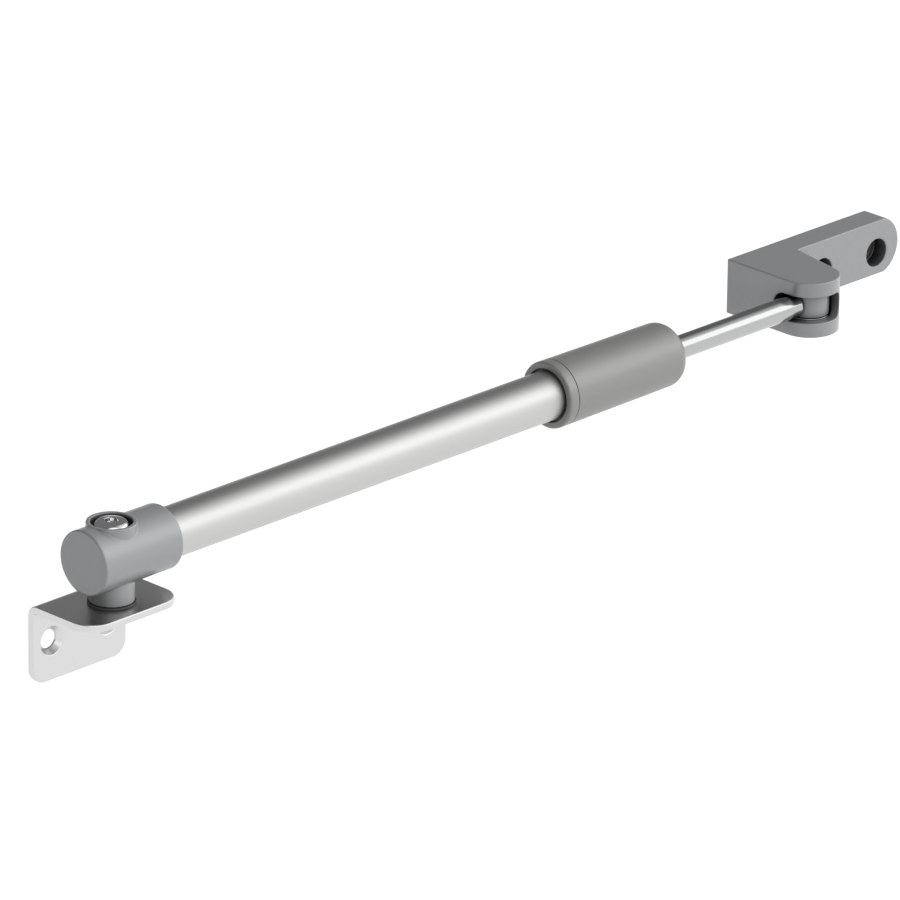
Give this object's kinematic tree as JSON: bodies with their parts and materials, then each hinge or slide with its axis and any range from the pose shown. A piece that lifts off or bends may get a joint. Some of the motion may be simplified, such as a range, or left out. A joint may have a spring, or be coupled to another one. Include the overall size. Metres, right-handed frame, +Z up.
{
  "type": "telescopic window stay",
  "caption": "Telescopic window stay: bent wall bracket, aluminium tube with twist-grip clamp, sliding steel rod and a forked swivelling sash bracket.",
  "frame": {"origin": "midway between the wall bracket's two screw holes, on the bracket's back face", "axes": "+X along the stay towards the sash bracket, +Y into the window frame that the bracket is screwed to, +Z up along both hinge pins"},
  "size_m": [0.3886, 0.0389, 0.0539],
  "materials": {
    "satin_steel": "satin plated sheet",
    "bright_chrome": "bright chrome plate",
    "zinc_steel": "zinc plate",
    "cast_grey": "satin silver-grey lacquer on zinc casting",
    "grip_grey": "satin silver-grey moulding",
    "anodised_tube": "fine brushed, natural anodised",
    "polished_rod": "polished bright",
    "turned_brass": "turned",
    "dark_nylon": "moulded black",
    "white_acetal": "moulded natural white",
    "black_rubber": "moulded black"
  },
  "bodies": {
    "bracket": {"frame_bracket": "satin_steel", "pivot_screw": "bright_chrome", "lock_washer": "zinc_steel", "pivot_nut": "zinc_steel"},
    "arm": {"end_head": "cast_grey", "upper_bush": "dark_nylon", "lower_bush": "dark_nylon", "outer_tube": "anodised_tube", "tube_pin": "zinc_steel", "lock_body": "turned_brass", "guide_bush": "white_acetal", "collet": "white_acetal"},
    "grip": {"grip_sleeve": "grip_grey", "grip_ring": "grip_grey", "slide_bush": "dark_nylon", "clamp_cone": "turned_brass", "rod_wiper": "black_rubber"},
    "piston": {"piston": "white_acetal", "piston_seal": "black_rubber"},
    "rod": {"inner_rod": "polished_rod", "piston_washer": "zinc_steel", "piston_screw": "zinc_steel", "swivel_barrel": "cast_grey"},
    "sash": {"sash_bracket": "cast_grey", "sash_pin": "polished_rod", "upper_thrust_washer": "polished_rod", "lower_thrust_washer": "polished_rod"}
  },
  "joints": [
    {"name": "frame_pivot", "type": "hinge", "parent": "bracket", "child": "arm", "pos_m": [0, -0.0165, 0.0295], "axis": [0, 0, 1], "range_deg": [-180, 0]},
    {"name": "grip_turn", "type": "hinge", "parent": "arm", "child": "grip", "pos_m": [0.21, -0.0165, 0.0295], "axis": [1, 0, 0], "range_deg": [0, 90]},
    {"name": "rod_slide", "type": "slide", "parent": "arm", "child": "piston", "axis": [1, 0, 0], "range_m": [-0.052, 0.106]},
    {"name": "rod_twist", "type": "hinge", "parent": "piston", "child": "rod", "pos_m": [0.1, -0.0165, 0.0295], "axis": [1, 0, 0], "continuous": true},
    {"name": "sash_pivot", "type": "hinge", "parent": "rod", "child": "sash", "pos_m": [0.308, -0.0165, 0.0295], "axis": [0, 0, 1], "range_deg": [-104, 12]}
  ]
}
